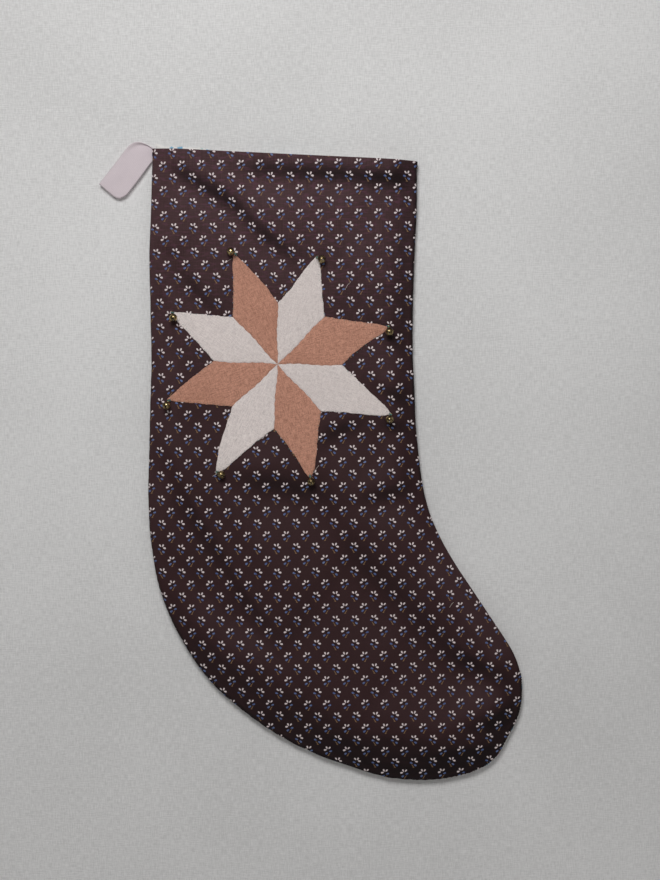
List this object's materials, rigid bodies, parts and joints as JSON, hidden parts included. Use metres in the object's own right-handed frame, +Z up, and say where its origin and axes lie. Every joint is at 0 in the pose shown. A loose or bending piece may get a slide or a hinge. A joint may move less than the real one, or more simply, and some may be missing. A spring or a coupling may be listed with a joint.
{
  "type": "hanging stocking",
  "caption": "Flat lined cotton stocking with a small floral print, a pieced eight-pointed star with jingle bells at its points, and a ribbon hanging loop.",
  "frame": {"origin": "back top corner of the leg, where the hanging loop is sewn into the mouth", "axes": "+Z up the leg, +X towards the toe, the decorated front faces -Y"},
  "size_m": [0.3221, 0.0218, 0.4878],
  "materials": {
    "print_cotton": "brown printed cotton, matte",
    "floral_lining": "pale floral cotton, matte",
    "terracotta_linen": "coarse terracotta linen",
    "cream_linen": "coarse cream linen",
    "ribbon": "ribbed mauve-grey ribbon, slight sheen",
    "teal_thread": "teal sewing thread",
    "bell_brass": "aged brass",
    "pea_steel": "plain steel ball"
  },
  "bodies": {
    "stocking": {"front_panel": "print_cotton", "back_panel": "print_cotton", "lining_front": "floral_lining", "lining_back": "floral_lining", "ribbon_tails": "ribbon", "ribbon_tacking": "teal_thread", "star_stitches": "teal_thread", "diamond_upper_left": "terracotta_linen", "diamond_upper_right": "cream_linen", "diamond_right_upper": "terracotta_linen", "diamond_right_lower": "cream_linen", "diamond_lower_right": "terracotta_linen", "diamond_lower_left": "cream_linen", "diamond_left_lower": "terracotta_linen", "diamond_left_upper": "cream_linen"},
    "hanging_loop": {"ribbon_loop": "ribbon"},
    "bell_upper_left": {"bell_crown_upper_left": "bell_brass", "bell_jaw_upper_left": "bell_brass", "bell_shank_upper_left": "bell_brass", "bell_thread_upper_left": "teal_thread"},
    "pea_upper_left": {"pea_upper_left": "pea_steel"},
    "bell_upper_right": {"bell_crown_upper_right": "bell_brass", "bell_jaw_upper_right": "bell_brass", "bell_shank_upper_right": "bell_brass", "bell_thread_upper_right": "teal_thread"},
    "pea_upper_right": {"pea_upper_right": "pea_steel"},
    "bell_right_upper": {"bell_crown_right_upper": "bell_brass", "bell_jaw_right_upper": "bell_brass", "bell_shank_right_upper": "bell_brass", "bell_thread_right_upper": "teal_thread"},
    "pea_right_upper": {"pea_right_upper": "pea_steel"},
    "bell_right_lower": {"bell_crown_right_lower": "bell_brass", "bell_jaw_right_lower": "bell_brass", "bell_shank_right_lower": "bell_brass", "bell_thread_right_lower": "teal_thread"},
    "pea_right_lower": {"pea_right_lower": "pea_steel"},
    "bell_lower_right": {"bell_crown_lower_right": "bell_brass", "bell_jaw_lower_right": "bell_brass", "bell_shank_lower_right": "bell_brass", "bell_thread_lower_right": "teal_thread"},
    "pea_lower_right": {"pea_lower_right": "pea_steel"},
    "bell_lower_left": {"bell_crown_lower_left": "bell_brass", "bell_jaw_lower_left": "bell_brass", "bell_shank_lower_left": "bell_brass", "bell_thread_lower_left": "teal_thread"},
    "pea_lower_left": {"pea_lower_left": "pea_steel"},
    "bell_left_lower": {"bell_crown_left_lower": "bell_brass", "bell_jaw_left_lower": "bell_brass", "bell_shank_left_lower": "bell_brass", "bell_thread_left_lower": "teal_thread"},
    "pea_left_lower": {"pea_left_lower": "pea_steel"},
    "bell_left_upper": {"bell_crown_left_upper": "bell_brass", "bell_jaw_left_upper": "bell_brass", "bell_shank_left_upper": "bell_brass", "bell_thread_left_upper": "teal_thread"},
    "pea_left_upper": {"pea_left_upper": "pea_steel"}
  },
  "joints": [
    {"name": "loop_swing", "type": "hinge", "parent": "stocking", "child": "hanging_loop", "pos_m": [-0.002, 0.002, 0.0026], "axis": [0, 1, 0], "range_deg": [0, 140]},
    {"name": "bell_swing_upper_left", "type": "hinge", "parent": "stocking", "child": "bell_upper_left", "pos_m": [0.06286, -0.01165, -0.07879], "axis": [0, -1, 0], "range_deg": [-10, 176]},
    {"name": "pea_slide_upper_left", "type": "slide", "parent": "bell_upper_left", "child": "pea_upper_left", "axis": [0, 0, 1], "range_m": [0, 0.003]},
    {"name": "bell_swing_upper_right", "type": "hinge", "parent": "stocking", "child": "bell_upper_right", "pos_m": [0.12384, -0.01165, -0.0814], "axis": [0, -1, 0], "range_deg": [-128, 10]},
    {"name": "pea_slide_upper_right", "type": "slide", "parent": "bell_upper_right", "child": "pea_upper_right", "axis": [0, 0, 1], "range_m": [0, 0.003]},
    {"name": "bell_swing_right_upper", "type": "hinge", "parent": "stocking", "child": "bell_right_upper", "pos_m": [0.1774, -0.01165, -0.13281], "axis": [0, -1, 0], "range_deg": [-68, 52]},
    {"name": "pea_slide_right_upper", "type": "slide", "parent": "bell_right_upper", "child": "pea_right_upper", "axis": [0, 0, 1], "range_m": [0, 0.003]},
    {"name": "bell_swing_right_lower", "type": "hinge", "parent": "stocking", "child": "bell_right_lower", "pos_m": [0.17927, -0.01165, -0.19881], "axis": [0, -1, 0], "range_deg": [-46, 74]},
    {"name": "pea_slide_right_lower", "type": "slide", "parent": "bell_right_lower", "child": "pea_right_lower", "axis": [0, 0, 1], "range_m": [0, 0.003]},
    {"name": "bell_swing_lower_right", "type": "hinge", "parent": "stocking", "child": "bell_lower_right", "pos_m": [0.11855, -0.01165, -0.24571], "axis": [0, -1, 0], "range_deg": [-71, 49]},
    {"name": "pea_slide_lower_right", "type": "slide", "parent": "bell_lower_right", "child": "pea_lower_right", "axis": [0, 0, 1], "range_m": [0, 0.003]},
    {"name": "bell_swing_lower_left", "type": "hinge", "parent": "stocking", "child": "bell_lower_left", "pos_m": [0.04806, -0.01165, -0.2424], "axis": [0, -1, 0], "range_deg": [-123, 10]},
    {"name": "pea_slide_lower_left", "type": "slide", "parent": "bell_lower_left", "child": "pea_lower_left", "axis": [0, 0, 1], "range_m": [0, 0.003]},
    {"name": "bell_swing_left_lower", "type": "hinge", "parent": "stocking", "child": "bell_left_lower", "pos_m": [0.01221, -0.01165, -0.18841], "axis": [0, -1, 0], "range_deg": [-37, 83]},
    {"name": "pea_slide_left_lower", "type": "slide", "parent": "bell_left_lower", "child": "pea_left_lower", "axis": [0, 0, 1], "range_m": [0, 0.003]},
    {"name": "bell_swing_left_upper", "type": "hinge", "parent": "stocking", "child": "bell_left_upper", "pos_m": [0.01531, -0.01165, -0.12248], "axis": [0, -1, 0], "range_deg": [-73, 47]},
    {"name": "pea_slide_left_upper", "type": "slide", "parent": "bell_left_upper", "child": "pea_left_upper", "axis": [0, 0, 1], "range_m": [0, 0.003]}
  ]
}
